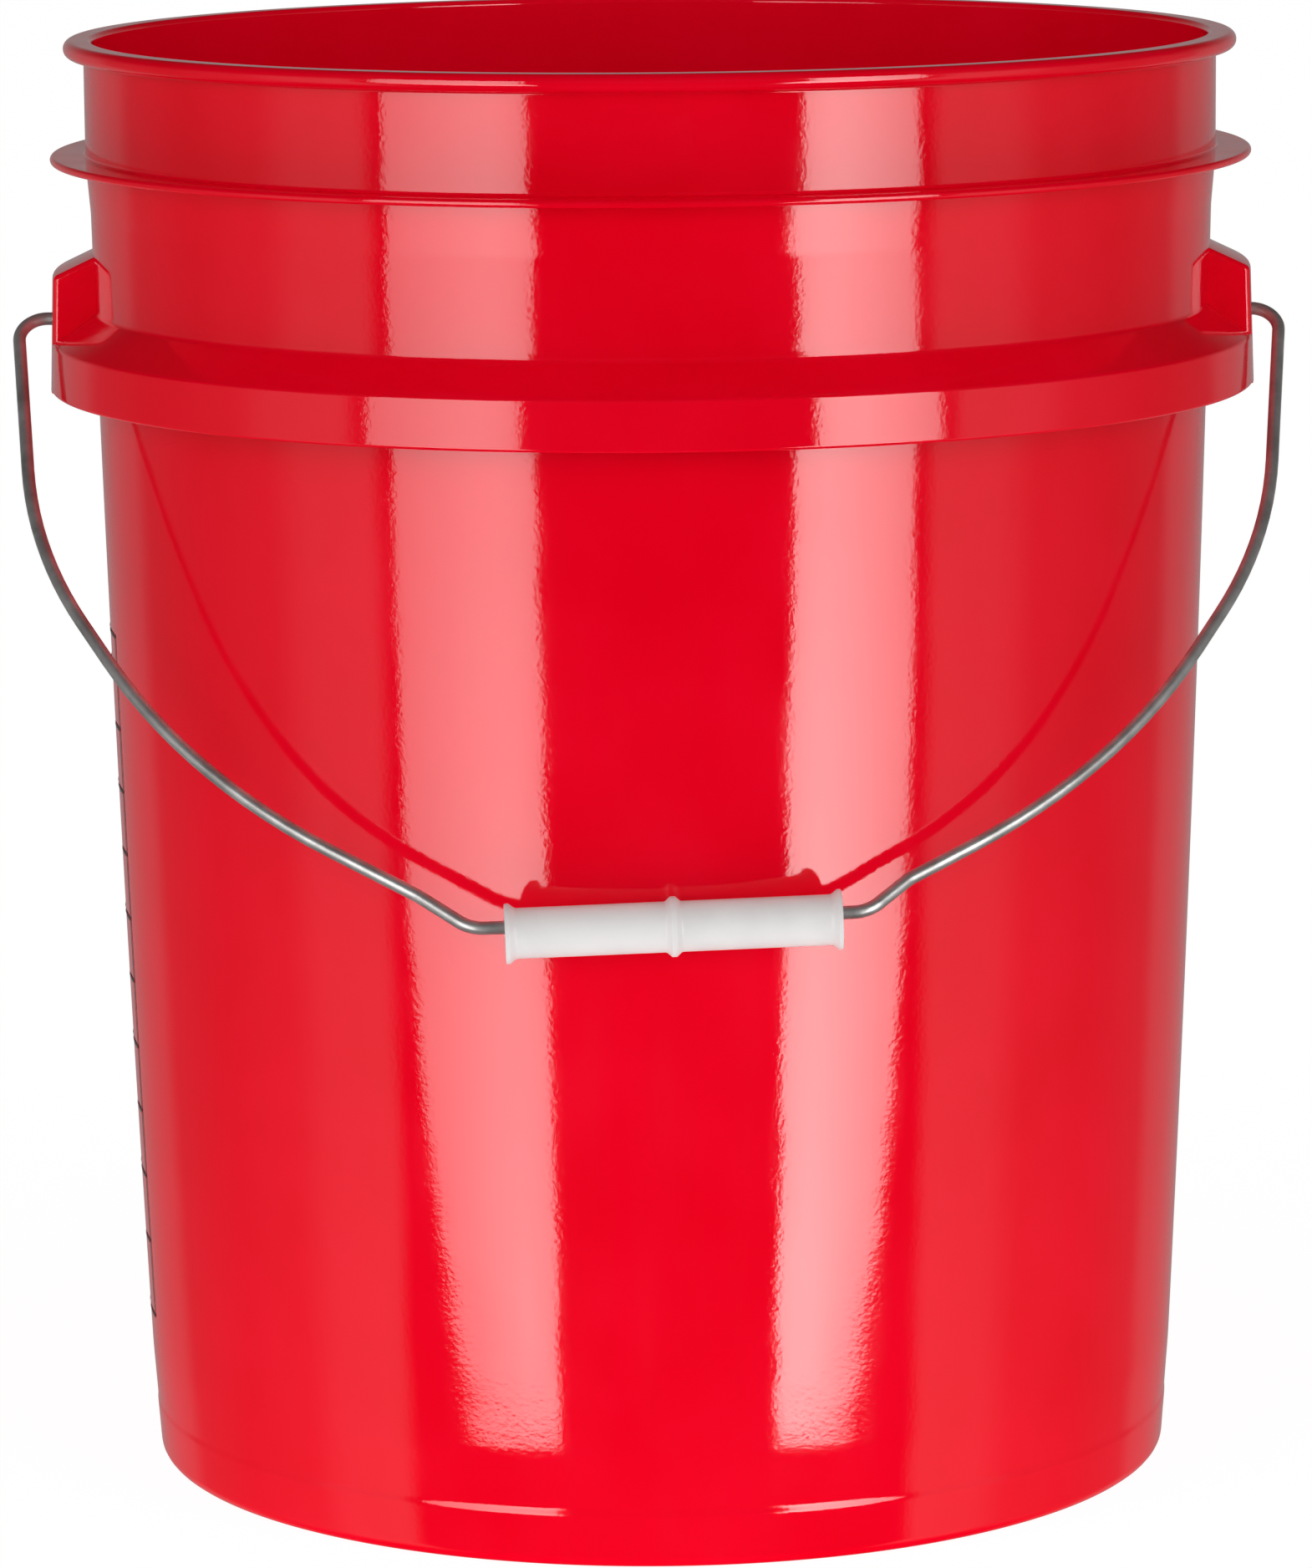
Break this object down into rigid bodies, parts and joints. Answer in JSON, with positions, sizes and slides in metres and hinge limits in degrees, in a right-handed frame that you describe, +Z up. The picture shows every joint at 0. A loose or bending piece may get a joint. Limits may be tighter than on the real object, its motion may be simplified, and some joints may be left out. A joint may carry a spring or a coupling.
{
  "type": "wash bucket",
  "caption": "Round tapered plastic bucket with a rolled rim, a stacking ring, a bail ring with hollow ears, a swinging steel wire bail and a rolling plastic grip.",
  "frame": {"origin": "on the pail's axis, on the plane its foot stands on", "axes": "+Z up along the pail's axis, +X through the right-hand ear, -Y towards the side where the bail rests"},
  "size_m": [0.3302, 0.3129, 0.373],
  "materials": {
    "pail_plastic": "glossy moulded polyethylene",
    "scale_ink": "printed ink",
    "bail_wire": "drawn, zinc plated",
    "grip_plastic": "satin moulded"
  },
  "bodies": {
    "pail": {"base": "pail_plastic", "wall": "pail_plastic", "stacking_ring": "pail_plastic", "rim": "pail_plastic", "bail_ring": "pail_plastic", "volume_scale": "scale_ink"},
    "bail": {"bail": "bail_wire"},
    "grip": {"grip": "grip_plastic"}
  },
  "joints": [
    {"name": "bail_swing", "type": "hinge", "parent": "pail", "child": "bail", "pos_m": [0, 0, 0.3], "axis": [-1, 0, 0], "range_deg": [0, 264.4]},
    {"name": "grip_spin", "type": "hinge", "parent": "bail", "child": "grip", "pos_m": [0.00398, -0.14793, 0.16586], "axis": [0.999, 0.0323, 0.0293], "continuous": true}
  ]
}
